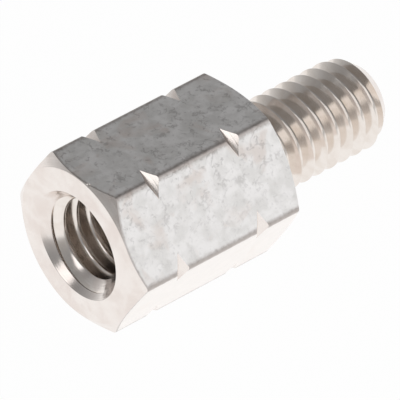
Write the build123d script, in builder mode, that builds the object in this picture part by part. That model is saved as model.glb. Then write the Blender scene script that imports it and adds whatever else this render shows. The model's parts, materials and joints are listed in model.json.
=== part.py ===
"""Hex screw lock: a threaded hole in one end, a threaded stud on the other, one turned piece.

Lengths are in mm. The thread axis is X, with the origin where it meets the shoulder: the stud
runs towards +X, the hex body towards -X, and +Z is square to one of the hex flats. The stud's
wall stands at its thread's crests and so does the hole's; neither carries the helix.
"""
import os
from math import radians, sqrt, tan

from build123d import *

os.makedirs("parts", exist_ok=True)

# Hex bar the piece is turned from
across_flats = 5.0
bar_corner_radius = 0.15

# Body, from the face with the hole to the shoulder
body_length = 6.25
face_inside_flats = 0.025
face_chamfer_angle = 32.0
shoulder_inside_flats = 0.075
shoulder_chamfer_angle = 23.5

# Two V-grooves turned round the body: they stop outside the flats, so only the corners are cut
groove_from_end = 1.6
groove_outside_flats = 0.135
groove_included_angle = 90.0

# M3 x 0.5 threads, one outside and one inside
stud_diameter = 2.93
stud_length = 4.85
stud_taper_length = 0.52
stud_taper_depth = 0.435
hole_diameter = 2.5
hole_mouth_diameter = 3.49
hole_mouth_angle = 90.0
hole_wall_to_shoulder = 1.45
drill_point_angle = 118.0

flat_radius = across_flats / 2
stud_radius = stud_diameter / 2
hole_radius = hole_diameter / 2
mouth_radius = hole_mouth_diameter / 2
face_radius = flat_radius - face_inside_flats
shoulder_radius = flat_radius - shoulder_inside_flats
groove_radius = flat_radius + groove_outside_flats

# The turned outline clears the bar's sharp corners, so the bar alone sets the edges between cuts
bar_radius = across_flats / sqrt(3) + bar_corner_radius
face_chamfer = (bar_radius - face_radius) * tan(radians(face_chamfer_angle))
shoulder_chamfer = (bar_radius - shoulder_radius) * tan(radians(shoulder_chamfer_angle))
groove_half = (bar_radius - groove_radius) * tan(radians(groove_included_angle / 2))
mouth_depth = (mouth_radius - hole_radius) / tan(radians(hole_mouth_angle / 2))
point_depth = hole_radius / tan(radians(drill_point_angle / 2))

face_x = -body_length
hole_end_x = -hole_wall_to_shoulder
first_groove = face_x + groove_from_end
second_groove = -groove_from_end

with BuildPart() as screw_lock:
    # Hex bar
    with BuildSketch(Plane.YZ.offset(face_x)) as bar:
        RegularPolygon(radius=flat_radius, side_count=6, major_radius=False)
        fillet(bar.vertices(), radius=bar_corner_radius)
    extrude(amount=body_length)

    # Turned outside: both end chamfers and both grooves
    with BuildSketch(Plane.XZ) as turned:
        with BuildLine():
            Polyline(
                (face_x, 0),
                (face_x, face_radius),
                (face_x + face_chamfer, bar_radius),
                (first_groove - groove_half, bar_radius),
                (first_groove, groove_radius),
                (first_groove + groove_half, bar_radius),
                (second_groove - groove_half, bar_radius),
                (second_groove, groove_radius),
                (second_groove + groove_half, bar_radius),
                (-shoulder_chamfer, bar_radius),
                (0, shoulder_radius),
                (0, 0),
                close=True,
            )
        make_face()
    revolve(axis=Axis.X, mode=Mode.INTERSECT)

    # Stud, tapered at its end
    with BuildSketch(Plane.XZ) as stud:
        with BuildLine():
            Polyline(
                (0, 0),
                (0, stud_radius),
                (stud_length - stud_taper_length, stud_radius),
                (stud_length, stud_radius - stud_taper_depth),
                (stud_length, 0),
                close=True,
            )
        make_face()
    revolve(axis=Axis.X)

    # Blind hole: countersunk mouth, wall and drill point
    with BuildSketch(Plane.XZ) as hole:
        with BuildLine():
            Polyline(
                (face_x, 0),
                (face_x, mouth_radius),
                (face_x + mouth_depth, hole_radius),
                (hole_end_x, hole_radius),
                (hole_end_x + point_depth, 0),
                close=True,
            )
        make_face()
    revolve(axis=Axis.X, mode=Mode.SUBTRACT)

screw_lock.part.label = "screw_lock"
export_step(screw_lock.part, "parts/screw_lock.step")
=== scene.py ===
"""Looks of the hex screw lock: one plated steel piece with its threads, on a pale floor.

Shapes are made in millimetres about the thread axis, X, and scaled to metres at the end.
"""

import json
import math

import bmesh
import bpy
from mathutils import Matrix, Vector


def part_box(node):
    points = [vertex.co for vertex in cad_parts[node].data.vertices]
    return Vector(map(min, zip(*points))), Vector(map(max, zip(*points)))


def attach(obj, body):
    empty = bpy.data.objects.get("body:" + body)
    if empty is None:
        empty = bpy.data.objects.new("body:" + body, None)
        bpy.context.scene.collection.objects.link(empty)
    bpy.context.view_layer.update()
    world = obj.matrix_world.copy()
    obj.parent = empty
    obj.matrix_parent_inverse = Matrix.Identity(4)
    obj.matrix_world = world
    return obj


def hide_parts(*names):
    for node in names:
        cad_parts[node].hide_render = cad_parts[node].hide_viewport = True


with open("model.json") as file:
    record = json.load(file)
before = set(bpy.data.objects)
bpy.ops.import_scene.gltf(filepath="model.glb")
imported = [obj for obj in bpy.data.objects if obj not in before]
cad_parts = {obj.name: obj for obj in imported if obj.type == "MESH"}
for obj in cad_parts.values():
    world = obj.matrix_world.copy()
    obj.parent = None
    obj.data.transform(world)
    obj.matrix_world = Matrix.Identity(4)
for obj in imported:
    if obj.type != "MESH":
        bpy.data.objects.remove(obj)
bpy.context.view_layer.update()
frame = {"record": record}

# ---------------------------------------------------------------- sizes, in millimetres
MM = 0.001

# The frame gives the overall sizes and the radius of each thread's crests
low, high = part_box("screw_lock")
mounts = {mount["name"]: mount for mount in frame["record"]["mounts"]}
FLAT_RADIUS = high[2] / MM
FACE_X = low[0] / MM
STUD_LENGTH = high[0] / MM
STUD_CREST = mounts["stud"]["dims"]["r_mm"]
HOLE_CREST = mounts["threaded_hole"]["dims"]["r_mm"]

# Hex bar
CORNER_RADIUS = 0.15
BAR_RADIUS = 2 * FLAT_RADIUS / math.sqrt(3) + CORNER_RADIUS

# Turned cuts
FACE_RADIUS = FLAT_RADIUS - 0.025
FACE_CHAMFER_ANGLE = 32.0
SHOULDER_RADIUS = FLAT_RADIUS - 0.075
SHOULDER_CHAMFER_ANGLE = 23.5
GROOVE_FROM_END = 1.6
GROOVE_RADIUS = FLAT_RADIUS + 0.135
TOOL_NOSE = 0.03

# M3 x 0.5 threads: 60 degree flanks, narrow crests and rounded roots. A phase, in degrees,
# turns a thread about its axis
PITCH = 0.5
FLANK = math.tan(math.radians(30))
CREST_FLAT = 0.03
STUD_ROOT = STUD_CREST - 0.338
STUD_PHASE = -119.4
STUD_TAPER_LENGTH = 0.52
STUD_TAPER_DEPTH = 0.435
STUD_END_ROUND = 0.05
HOLE_ROOT = 1.58
HOLE_PHASE = 301.0

# Blind hole with a countersunk mouth. The tap stops short of the end of the drilled wall
MOUTH_RADIUS = 1.745
MOUTH_ANGLE = 90.0
MOUTH_ROUND = 0.02
MOUTH_FLARE = 0.05
HOLE_END_X = -1.45
TAP_END_X = HOLE_END_X - 0.55
DRILL_POINT_ANGLE = 118.0

# A nick where the top flat meets the face's chamfer: a small ball, centred just above the flat
NICK_RADIUS = 0.08
NICK_RISE = 0.04
NICK_X = -6.21
NICK_Y = -0.44

# Facets in a full turn, how far a cutting outline runs past an end, and how far past a side
STEPS = 144
OVERRUN = 0.3
CLEAR = 0.1

# Edges that turn less than this look smooth
SMOOTH_ANGLE = 28.0

# The floor's card lies just under the part, so that their two faces stay apart
FLOOR_RADIUS = 30.0
FLOOR_GAP = 0.002


# ---------------------------------------------------------------- shapes
def eased(outline, segments=4):
    """An outline with its corners rounded. Each point is (x, radius, size of the rounding)."""
    points = [Vector(outline[0][:2])]
    for before, corner, after in zip(outline, outline[1:], outline[2:]):
        middle = Vector(corner[:2])
        back = (Vector(before[:2]) - middle).normalized() * corner[2]
        ahead = (Vector(after[:2]) - middle).normalized() * corner[2]
        if corner[2] == 0:
            points.append(middle)
            continue
        for step in range(segments + 1):
            part = step / segments
            first = (middle + back).lerp(middle, part)
            second = middle.lerp(middle + ahead, part)
            points.append(first.lerp(second, part))
    points.append(Vector(outline[-1][:2]))
    return points


def wire(mesh, outline):
    """The outline as a chain of edges in the XY plane."""
    verts = [mesh.verts.new((point.x, point.y, 0)) for point in outline]
    edges = [mesh.edges.new(pair) for pair in zip(verts, verts[1:])]
    return verts + edges


def solid(mesh, name, material):
    """Ends a shape: clean, facing outwards, in one finish."""
    bmesh.ops.remove_doubles(mesh, verts=mesh.verts, dist=1e-5)
    bmesh.ops.recalc_face_normals(mesh, faces=mesh.faces)
    for face in mesh.faces:
        face.material_index = material
    data = bpy.data.meshes.new(name)
    mesh.to_mesh(data)
    mesh.free()
    for finish in FINISHES:
        data.materials.append(finish)
    piece = bpy.data.objects.new(name, data)
    bpy.context.scene.collection.objects.link(piece)
    return piece


def hex_bar():
    """Drawn hex bar with a small radius on its corners."""
    mesh = bmesh.new()
    bmesh.ops.create_circle(
        mesh, cap_ends=True, segments=6, radius=2 * FLAT_RADIUS / math.sqrt(3)
    )
    bmesh.ops.bevel(
        mesh,
        geom=mesh.verts[:],
        offset=CORNER_RADIUS * math.tan(math.radians(30)),
        segments=8,
        profile=0.5,
        affect="VERTICES",
        material=-1,
    )
    spare = 1.0
    upright = Matrix.Rotation(math.radians(90), 3, "Y")
    bmesh.ops.rotate(mesh, verts=mesh.verts, matrix=upright)
    bmesh.ops.translate(mesh, verts=mesh.verts, vec=(FACE_X - spare, 0, 0))
    grown = bmesh.ops.extrude_face_region(mesh, geom=mesh.faces[:])
    ends = [part for part in grown["geom"] if isinstance(part, bmesh.types.BMVert)]
    bmesh.ops.translate(mesh, verts=ends, vec=(2 * spare - FACE_X, 0, 0))
    return solid(mesh, "bar", DRAWN)


def turned(name, outline, material):
    """A solid turned about X from an outline that starts and ends on the axis."""
    mesh = bmesh.new()
    bmesh.ops.spin(
        mesh,
        geom=wire(mesh, eased(outline)),
        axis=(1, 0, 0),
        angle=math.tau,
        steps=STEPS,
        use_merge=True,
    )
    return solid(mesh, name, material)


def threaded_rod(name, crest, root, start_x, end_x, phase):
    """A closed rod with one right-hand thread: one pitch of outline, swept along the helix."""
    middle = PITCH / 2
    root_flat = PITCH - CREST_FLAT - 2 * (crest - root) * FLANK
    # Each rounding stays under half its flat, so that the outline never folds
    root_round = root_flat / 2 - 0.002
    crest_round = CREST_FLAT / 2 - 0.01
    outline = [
        (0, root, 0),
        (root_flat / 2, root, root_round),
        (middle - CREST_FLAT / 2, crest, crest_round),
        (middle + CREST_FLAT / 2, crest, crest_round),
        (PITCH - root_flat / 2, root, root_round),
        (PITCH, root, 0),
    ]
    turns = math.ceil((end_x - start_x) / PITCH)
    mesh = bmesh.new()
    bmesh.ops.spin(
        mesh,
        geom=wire(mesh, eased(outline, 3)),
        axis=(1, 0, 0),
        dvec=(PITCH / STEPS, 0, 0),
        angle=math.tau,
        steps=STEPS,
    )
    one_turn = mesh.verts[:] + mesh.edges[:] + mesh.faces[:]
    for turn in range(1, turns):
        copied = bmesh.ops.duplicate(mesh, geom=one_turn)["geom"]
        moved = [part for part in copied if isinstance(part, bmesh.types.BMVert)]
        bmesh.ops.translate(mesh, verts=moved, vec=(PITCH * turn, 0, 0))
    bmesh.ops.remove_doubles(mesh, verts=mesh.verts, dist=1e-4)
    rims = [edge for edge in mesh.edges if edge.is_boundary]
    halfway = PITCH * (turns + 1) / 2
    for is_start in (True, False):
        rim = [edge for edge in rims if (edge.verts[0].co.x < halfway) == is_start]
        grown = bmesh.ops.extrude_edge_only(mesh, edges=rim)
        lip = [part for part in grown["geom"] if isinstance(part, bmesh.types.BMVert)]
        centre = middle if is_start else middle + PITCH * turns
        bmesh.ops.pointmerge(mesh, verts=lip, merge_co=(centre, 0, 0))
    turn = Matrix.Rotation(math.radians(phase), 3, "X")
    bmesh.ops.rotate(mesh, verts=mesh.verts, matrix=turn)
    bmesh.ops.translate(mesh, verts=mesh.verts, vec=(start_x, 0, 0))
    return solid(mesh, name, THREAD)


def combine(piece, tool, operation):
    """Cuts, trims or joins two solids. The tool is used up."""
    change = piece.modifiers.new(operation, "BOOLEAN")
    change.object = tool
    change.operation = operation
    change.solver = "EXACT"
    graph = bpy.context.evaluated_depsgraph_get()
    result = bpy.data.meshes.new_from_object(piece.evaluated_get(graph))
    piece.modifiers.clear()
    piece.data = result
    bpy.data.objects.remove(tool)
    return piece


def body():
    """Hex bar faced, chamfered at both ends and grooved twice round."""
    face_chamfer = (BAR_RADIUS - FACE_RADIUS) * math.tan(math.radians(FACE_CHAMFER_ANGLE))
    shoulder_chamfer = (BAR_RADIUS - SHOULDER_RADIUS) * math.tan(
        math.radians(SHOULDER_CHAMFER_ANGLE)
    )
    # At 90 degrees included, a groove is as deep as half its width
    groove_half = BAR_RADIUS - GROOVE_RADIUS
    outline = [
        (FACE_X, 0, 0),
        (FACE_X, FACE_RADIUS, TOOL_NOSE),
        (FACE_X + face_chamfer, BAR_RADIUS, 0),
    ]
    for groove in (FACE_X + GROOVE_FROM_END, -GROOVE_FROM_END):
        outline += [
            (groove - groove_half, BAR_RADIUS, 0),
            (groove, GROOVE_RADIUS, TOOL_NOSE / 2),
            (groove + groove_half, BAR_RADIUS, 0),
        ]
    outline += [
        (-shoulder_chamfer, BAR_RADIUS, 0),
        (0, SHOULDER_RADIUS, TOOL_NOSE),
        (0, 0, 0),
    ]
    return combine(hex_bar(), turned("turned", outline, TURNED), "INTERSECT")


def stud():
    """Threaded stud, tapered at its end and rooted a little inside the body."""
    rod = threaded_rod(
        "stud", STUD_CREST, STUD_ROOT, -2 * PITCH, STUD_LENGTH + PITCH, STUD_PHASE
    )
    slope = STUD_TAPER_LENGTH / STUD_TAPER_DEPTH
    outline = [
        (-OVERRUN, 0, 0),
        (-OVERRUN, STUD_CREST + CLEAR, 0),
        (STUD_LENGTH - STUD_TAPER_LENGTH - CLEAR * slope, STUD_CREST + CLEAR, 0),
        (STUD_LENGTH, STUD_CREST - STUD_TAPER_DEPTH, STUD_END_ROUND),
        (STUD_LENGTH, 0, 0),
    ]
    return combine(rod, turned("stud_limit", outline, TURNED), "INTERSECT")


def tap():
    """What the tap removes: a threaded rod from outside the mouth to short of the drill point."""
    rod = threaded_rod(
        "tap", HOLE_ROOT, HOLE_CREST, FACE_X - 2 * PITCH, TAP_END_X + PITCH, HOLE_PHASE
    )
    outline = [
        (FACE_X - OVERRUN, 0, 0),
        (FACE_X - OVERRUN, HOLE_ROOT + CLEAR, 0),
        (TAP_END_X - PITCH, HOLE_ROOT + CLEAR, 0),
        (TAP_END_X, HOLE_CREST - CLEAR, 0),
        (TAP_END_X, 0, 0),
    ]
    return combine(rod, turned("tap_limit", outline, THREAD), "INTERSECT")


def drill():
    """What the drill and the countersink remove, with the mouth's rim eased."""
    slope = 1 / math.tan(math.radians(MOUTH_ANGLE / 2))
    mouth_depth = (MOUTH_RADIUS - HOLE_CREST) * slope
    point = HOLE_CREST / math.tan(math.radians(DRILL_POINT_ANGLE / 2))
    outline = [
        (FACE_X - OVERRUN, 0, 0),
        (FACE_X - OVERRUN, MOUTH_RADIUS + MOUTH_FLARE, 0),
        (FACE_X, MOUTH_RADIUS, MOUTH_ROUND),
        (FACE_X + mouth_depth, HOLE_CREST, TOOL_NOSE),
        (HOLE_END_X, HOLE_CREST, TOOL_NOSE),
        (HOLE_END_X + point, 0, 0),
    ]
    return turned("drill", outline, TURNED)


def nick():
    """What the nick in the top flat's edge removes."""
    mesh = bmesh.new()
    bmesh.ops.create_icosphere(mesh, subdivisions=3, radius=NICK_RADIUS)
    bmesh.ops.translate(mesh, verts=mesh.verts, vec=(NICK_X, NICK_Y, FLAT_RADIUS + NICK_RISE))
    return solid(mesh, "nick", TURNED)


# ---------------------------------------------------------------- finishes
def srgb(code):
    """A hex colour as linear red, green and blue, with alpha."""
    values = [int(code[i : i + 2], 16) / 255 for i in (0, 2, 4)]
    linear = [v / 12.92 if v <= 0.04045 else ((v + 0.055) / 1.055) ** 2.4 for v in values]
    return (*linear, 1)


def node(tree, kind, inputs=None, **settings):
    """Adds a node. Settings are its properties; inputs are values, nodes or their sockets."""
    made = tree.nodes.new("ShaderNode" + kind)
    for key, value in settings.items():
        setattr(made, key, value)
    for key, value in (inputs or {}).items():
        if isinstance(value, bpy.types.Node):
            value = next(socket for socket in value.outputs if socket.enabled)
        if isinstance(value, bpy.types.NodeSocket):
            tree.links.new(value, made.inputs[key])
        else:
            made.inputs[key].default_value = value
    return made


def mottle(tree, place, size, detail, warp, seed, low_end, high_end, most=1.0):
    """A cloudy pattern of a size in millimetres, and the soft patches where it stands high."""
    moved = node(tree, "VectorMath", {0: place, 1: (seed, seed, seed)}, operation="ADD")
    cloud = node(
        tree,
        "TexNoise",
        {"Vector": moved, "Scale": 1 / size, "Detail": detail, "Distortion": warp},
    )
    patches = node(
        tree,
        "MapRange",
        {0: cloud, 1: low_end, 2: high_end, 3: 0.0, 4: most},
        interpolation_type="SMOOTHSTEP",
    )
    return cloud, patches


def strokes(tree, place, size, width, seed):
    """Thin broken curving lines: a contour of one cloudy pattern, kept in another's patches."""
    moved = node(tree, "VectorMath", {0: place, 1: (seed, seed, seed)}, operation="ADD")
    cloud = node(
        tree,
        "TexNoise",
        {"Vector": moved, "Scale": 1 / size, "Detail": 5.0, "Distortion": 0.3},
    )
    level = node(tree, "Math", {0: cloud, 1: 0.5}, operation="SUBTRACT")
    away = node(tree, "Math", {0: level}, operation="ABSOLUTE")
    line = node(
        tree,
        "MapRange",
        {0: away, 1: width, 2: 0.0, 3: 0.0, 4: 1.0},
        interpolation_type="SMOOTHSTEP",
    )
    _, kept = mottle(tree, place, size * 0.9, 1.0, 0.0, seed + 7, 0.52, 0.66)
    return node(tree, "Math", {0: line, 1: kept}, operation="MULTIPLY")


def new_finish(name):
    """An empty material: its node tree and its coordinates in millimetres."""
    material = bpy.data.materials.new(name)
    material.use_nodes = True
    tree = material.node_tree
    tree.nodes.clear()
    metres = node(tree, "TexCoord").outputs["Object"]
    place = node(tree, "VectorMath", {0: metres, "Scale": 1 / MM}, operation="SCALE")
    return material, tree, place


def axis_distance(tree, place):
    """How far a point stands from the thread axis."""
    across = node(tree, "VectorMath", {0: place, 1: (0, 1, 1)}, operation="MULTIPLY")
    return node(tree, "VectorMath", {0: across}, operation="LENGTH")


def corner_nearness(tree, place):
    """Second largest distance from the axis, square to the three pairs of flats."""
    reaches = []
    for turn in (30, 90, 150):
        square = (0, math.cos(math.radians(turn)), math.sin(math.radians(turn)))
        along = node(tree, "VectorMath", {0: place, 1: square}, operation="DOT_PRODUCT")
        reaches.append(node(tree, "Math", {0: along}, operation="ABSOLUTE"))
    first, second, third = reaches
    combined = {}
    for operation in ("MAXIMUM", "MINIMUM", "ADD"):
        pair = node(tree, "Math", {0: first, 1: second}, operation=operation)
        combined[operation] = node(tree, "Math", {0: pair, 1: third}, operation=operation)
    lower_two = node(
        tree, "Math", {0: combined["ADD"], 1: combined["MAXIMUM"]}, operation="SUBTRACT"
    )
    return node(tree, "Math", {0: lower_two, 1: combined["MINIMUM"]}, operation="SUBTRACT")


def chamfer_nearness(tree, place):
    """How far a point of a flat lies behind the chamfer round the hole's face."""
    slope = math.tan(math.radians(FACE_CHAMFER_ANGLE))
    edge = node(
        tree,
        "Math",
        {0: axis_distance(tree, place), 1: slope, 2: FACE_X - FACE_RADIUS * slope},
        operation="MULTIPLY_ADD",
    )
    along = node(tree, "SeparateXYZ", {0: place}).outputs["X"]
    return node(tree, "Math", {0: along, 1: edge}, operation="SUBTRACT")


def drawn_zinc():
    """Clear zinc over cold-drawn steel: satin, mottled by the bath, stained along its edges, and
    whitened on its lower flats by a painted reflection of the floor.
    """
    material, tree, place = new_finish("drawn_zinc")
    height = node(tree, "SeparateXYZ", {0: place}).outputs["Z"]
    cloud, pale = mottle(tree, place, 0.45, 4.0, 0.4, 0.0, 0.35, 0.65)
    fine, flecks = mottle(tree, place, 0.12, 3.0, 0.3, 3.0, 0.56, 0.72, 0.30)
    _, warm = mottle(tree, place, 1.1, 3.0, 0.5, 11.0, 0.52, 0.68, 0.7)

    # Painted reflection: the lower flats are whitened almost to white, mostly covering their
    # mottling, to stand in for the white floor that they face. The marks grow stronger towards the
    # top
    painted_floor_reflection = node(
        tree,
        "MapRange",
        {0: height, 1: 0.15, 2: -0.15, 3: 0.0, 4: 0.8},
        interpolation_type="SMOOTHSTEP",
    )
    upper = node(
        tree,
        "MapRange",
        {0: height, 1: -1.0, 2: 3.0, 3: 0.0, 4: 0.36},
        interpolation_type="SMOOTHSTEP",
    )
    long_marks = strokes(tree, place, 0.45, 0.05, 5.0)
    short_marks = strokes(tree, place, 0.25, 0.06, 23.0)
    marks = node(tree, "Math", {0: long_marks, 1: short_marks}, operation="MAXIMUM")
    marks = node(tree, "Math", {0: marks, 1: upper}, operation="MULTIPLY")

    # Stain along the bar's corners and behind the face's chamfer, with a ragged edge
    ragged = node(tree, "Math", {0: fine, 1: 0.10, 2: -0.05}, operation="MULTIPLY_ADD")
    stains = []
    for nearness, faint, full, most in (
        (corner_nearness(tree, place), 2.32, 2.48, 0.65),
        (chamfer_nearness(tree, place), 0.09, 0.02, 0.5),
    ):
        near = node(tree, "Math", {0: nearness, 1: ragged}, operation="ADD")
        stain = node(
            tree,
            "MapRange",
            {0: near, 1: faint, 2: full, 3: 0.0, 4: most},
            interpolation_type="SMOOTHSTEP",
        )
        stains.append(stain)
    stained = node(tree, "Math", {0: stains[0], 1: stains[1]}, operation="MAXIMUM")

    colour = srgb("EAE8E6")
    for amount, code in (
        (pale, "FBF9F8"),
        (warm, "E6DCD6"),
        (flecks, "C9C6C6"),
        # Near white on the lower flats: painted reflection of the floor
        (painted_floor_reflection, "FFFAF6"),
        (marks, "7A7270"),
        (stained, "897B73"),
    ):
        colour = node(tree, "Mix", {0: amount, 6: colour, 7: srgb(code)}, data_type="RGBA")
    rough = node(tree, "Math", {0: cloud, 1: 0.25, 2: 0.27}, operation="MULTIPLY_ADD")
    relief = node(tree, "Math", {0: fine, 1: 0.4, 2: cloud}, operation="MULTIPLY_ADD")
    bump = node(tree, "Bump", {"Height": relief, "Strength": 1.0, "Distance": 0.008 * MM})
    metal = node(
        tree,
        "BsdfPrincipled",
        {"Metallic": 1.0, "Base Color": colour, "Roughness": rough, "Normal": bump},
    )
    node(tree, "OutputMaterial", {"Surface": metal})
    return material


def turned_zinc():
    """Clear zinc over turned steel: bright and a little warm, with the tool's fine rings."""
    material, tree, place = new_finish("turned_zinc")
    cloud, dull = mottle(tree, place, 0.7, 3.0, 0.3, 17.0, 0.35, 0.7)
    colour = node(
        tree, "Mix", {0: dull, 6: srgb("F1EAE5"), 7: srgb("E8DED8")}, data_type="RGBA"
    )
    # About nine rings to a millimetre: real tool marks are finer and would not show
    rings = node(
        tree,
        "TexNoise",
        {"W": axis_distance(tree, place), "Scale": 9.0, "Detail": 3.0},
        noise_dimensions="1D",
    )
    relief = node(tree, "Math", {0: cloud, 1: 0.6, 2: rings}, operation="MULTIPLY_ADD")
    bump = node(tree, "Bump", {"Height": relief, "Strength": 1.0, "Distance": 0.006 * MM})
    metal = node(
        tree,
        "BsdfPrincipled",
        {"Metallic": 1.0, "Base Color": colour, "Roughness": 0.22, "Normal": bump},
    )
    node(tree, "OutputMaterial", {"Surface": metal})
    return material


def thread_zinc():
    """Clear zinc over cut thread: bright and the smoothest of the three."""
    material, tree, place = new_finish("thread_zinc")
    _, dull = mottle(tree, place, 0.5, 3.0, 0.3, 29.0, 0.35, 0.7)
    colour = node(
        tree, "Mix", {0: dull, 6: srgb("EFE8E2"), 7: srgb("E7DED6")}, data_type="RGBA"
    )
    metal = node(tree, "BsdfPrincipled", {"Metallic": 1.0, "Base Color": colour, "Roughness": 0.15})
    node(tree, "OutputMaterial", {"Surface": metal})
    return material


FINISHES = [drawn_zinc(), turned_zinc(), thread_zinc()]
DRAWN, TURNED, THREAD = range(3)


# ---------------------------------------------------------------- the screw lock
screw_lock = combine(body(), stud(), "UNION")
for cut in (tap, drill, nick):
    screw_lock = combine(screw_lock, cut(), "DIFFERENCE")
screw_lock.name = "plated_screw_lock"
screw_lock.data.name = "plated_screw_lock"
screw_lock.data.transform(Matrix.Scale(MM, 4))
screw_lock.data.shade_smooth()
screw_lock.data.set_sharp_from_angle(angle=math.radians(SMOOTH_ANGLE))
even = screw_lock.modifiers.new("even_shading", "WEIGHTED_NORMAL")
even.mode = "FACE_AREA"
even.keep_sharp = True
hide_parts("screw_lock")
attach(screw_lock, "root")


# ---------------------------------------------------------------- floor, light and camera
def white_card():
    """Matt white card. Eyes and metal see it as white; its shadow stays."""
    material = bpy.data.materials.new("white_card")
    material.use_nodes = True
    tree = material.node_tree
    tree.nodes.clear()
    seen = node(tree, "LightPath").outputs
    mirrored = node(
        tree,
        "Math",
        {0: seen["Is Glossy Ray"], 1: seen["Is Transmission Ray"]},
        operation="ADD",
    )
    share = node(
        tree,
        "Math",
        {0: seen["Is Camera Ray"], 1: 0.98, 2: mirrored},
        operation="MULTIPLY_ADD",
        use_clamp=True,
    )
    card = node(tree, "BsdfDiffuse", {"Color": srgb("FAFAFA")})
    white = node(tree, "Emission", {"Color": srgb("FFFFFF"), "Strength": 1.0})
    surface = node(tree, "MixShader", {0: share, 1: card, 2: white})
    node(tree, "OutputMaterial", {"Surface": surface})
    return material


def pale_floor():
    """A round card just under the flat that the part lies on."""
    mesh = bmesh.new()
    bmesh.ops.create_circle(mesh, cap_ends=True, segments=96, radius=FLOOR_RADIUS * MM)
    bmesh.ops.translate(mesh, verts=mesh.verts, vec=(0, 0, low[2] - FLOOR_GAP * MM))
    data = bpy.data.meshes.new("floor")
    mesh.to_mesh(data)
    mesh.free()
    data.materials.append(white_card())
    floor = bpy.data.objects.new("floor", data)
    bpy.context.scene.collection.objects.link(floor)


def softbox(name, toward, width, height, radiance, distance=0.3):
    """A soft rectangular lamp in a direction from the object, of a given brightness."""
    lamp = bpy.data.lights.new(name, "AREA")
    lamp.shape = "RECTANGLE"
    lamp.size = width
    lamp.size_y = height
    lamp.energy = radiance * math.pi * width * height
    piece = bpy.data.objects.new(name, lamp)
    aim = Vector(toward).normalized()
    piece.location = aim * distance
    piece.rotation_euler = aim.to_track_quat("Z", "Y").to_euler()
    bpy.context.scene.collection.objects.link(piece)


def studio_world():
    """A room that is dim overhead, pale below and shaded on the left; eyes see it as white."""
    world = bpy.data.worlds.new("studio")
    world.use_nodes = True
    bpy.context.scene.world = world
    tree = world.node_tree
    tree.nodes.clear()
    toward = node(tree, "TexCoord").outputs["Generated"]
    sides = node(tree, "SeparateXYZ", {0: toward}).outputs
    rise = node(tree, "Math", {0: sides["Z"], 1: 0.5, 2: 0.5}, operation="MULTIPLY_ADD")
    ramp = node(tree, "ValToRGB", {0: rise})
    stops = ramp.color_ramp.elements
    stops.remove(stops[1])
    stops[0].position = 0.0
    stops[0].color = (1, 1, 1, 1)
    for height, level in ((-0.6, 1.0), (-0.2, 0.82), (0, 0.66), (0.3, 0.42), (0.7, 0.26)):
        stop = stops.new(0.5 + height / 2)
        stop.color = (level, level, level, 1)
    shade = node(
        tree,
        "MapRange",
        {0: sides["X"], 1: -1.0, 2: -0.2, 3: 0.65, 4: 1.0},
        interpolation_type="SMOOTHSTEP",
    )
    room = node(tree, "Background", {"Color": ramp, "Strength": shade})
    white = node(tree, "Background", {"Color": srgb("FFFFFF"), "Strength": 1.0})
    seen = node(tree, "LightPath").outputs
    surface = node(tree, "MixShader", {0: seen["Is Camera Ray"], 1: room, 2: white})
    node(tree, "OutputWorld", {"Surface": surface})


def camera():
    """A long lens above the left front corner, looking along the body towards the stud."""
    azimuth, elevation, roll = -41.563, 38.543, 1.092
    aim, distance, lens = Vector((-2.179, -0.739, 0.074)), 200.0, 616.4
    turn, tilt = math.radians(azimuth), math.radians(elevation)
    back = Vector(
        (math.sin(turn) * math.cos(tilt), -math.cos(turn) * math.cos(tilt), math.sin(tilt))
    )
    data = bpy.data.cameras.new("camera")
    data.sensor_width = 36
    data.lens = lens
    data.clip_start = 0.01
    piece = bpy.data.objects.new("camera", data)
    piece.location = (aim + back * distance) * MM
    upright = back.to_track_quat("Z", "Y")
    rolled = Matrix.Rotation(math.radians(roll), 3, "Z").to_quaternion()
    piece.rotation_mode = "QUATERNION"
    piece.rotation_quaternion = upright @ rolled
    bpy.context.scene.collection.objects.link(piece)
    bpy.context.scene.camera = piece


pale_floor()
softbox("front_softbox", (0.50, -0.60, 0.60), 0.28, 0.30, 0.80)
softbox("left_softbox", (-0.80, 0.06, 0.59), 0.16, 0.13, 1.25)
studio_world()
camera()
bpy.context.scene.view_settings.view_transform = "Standard"
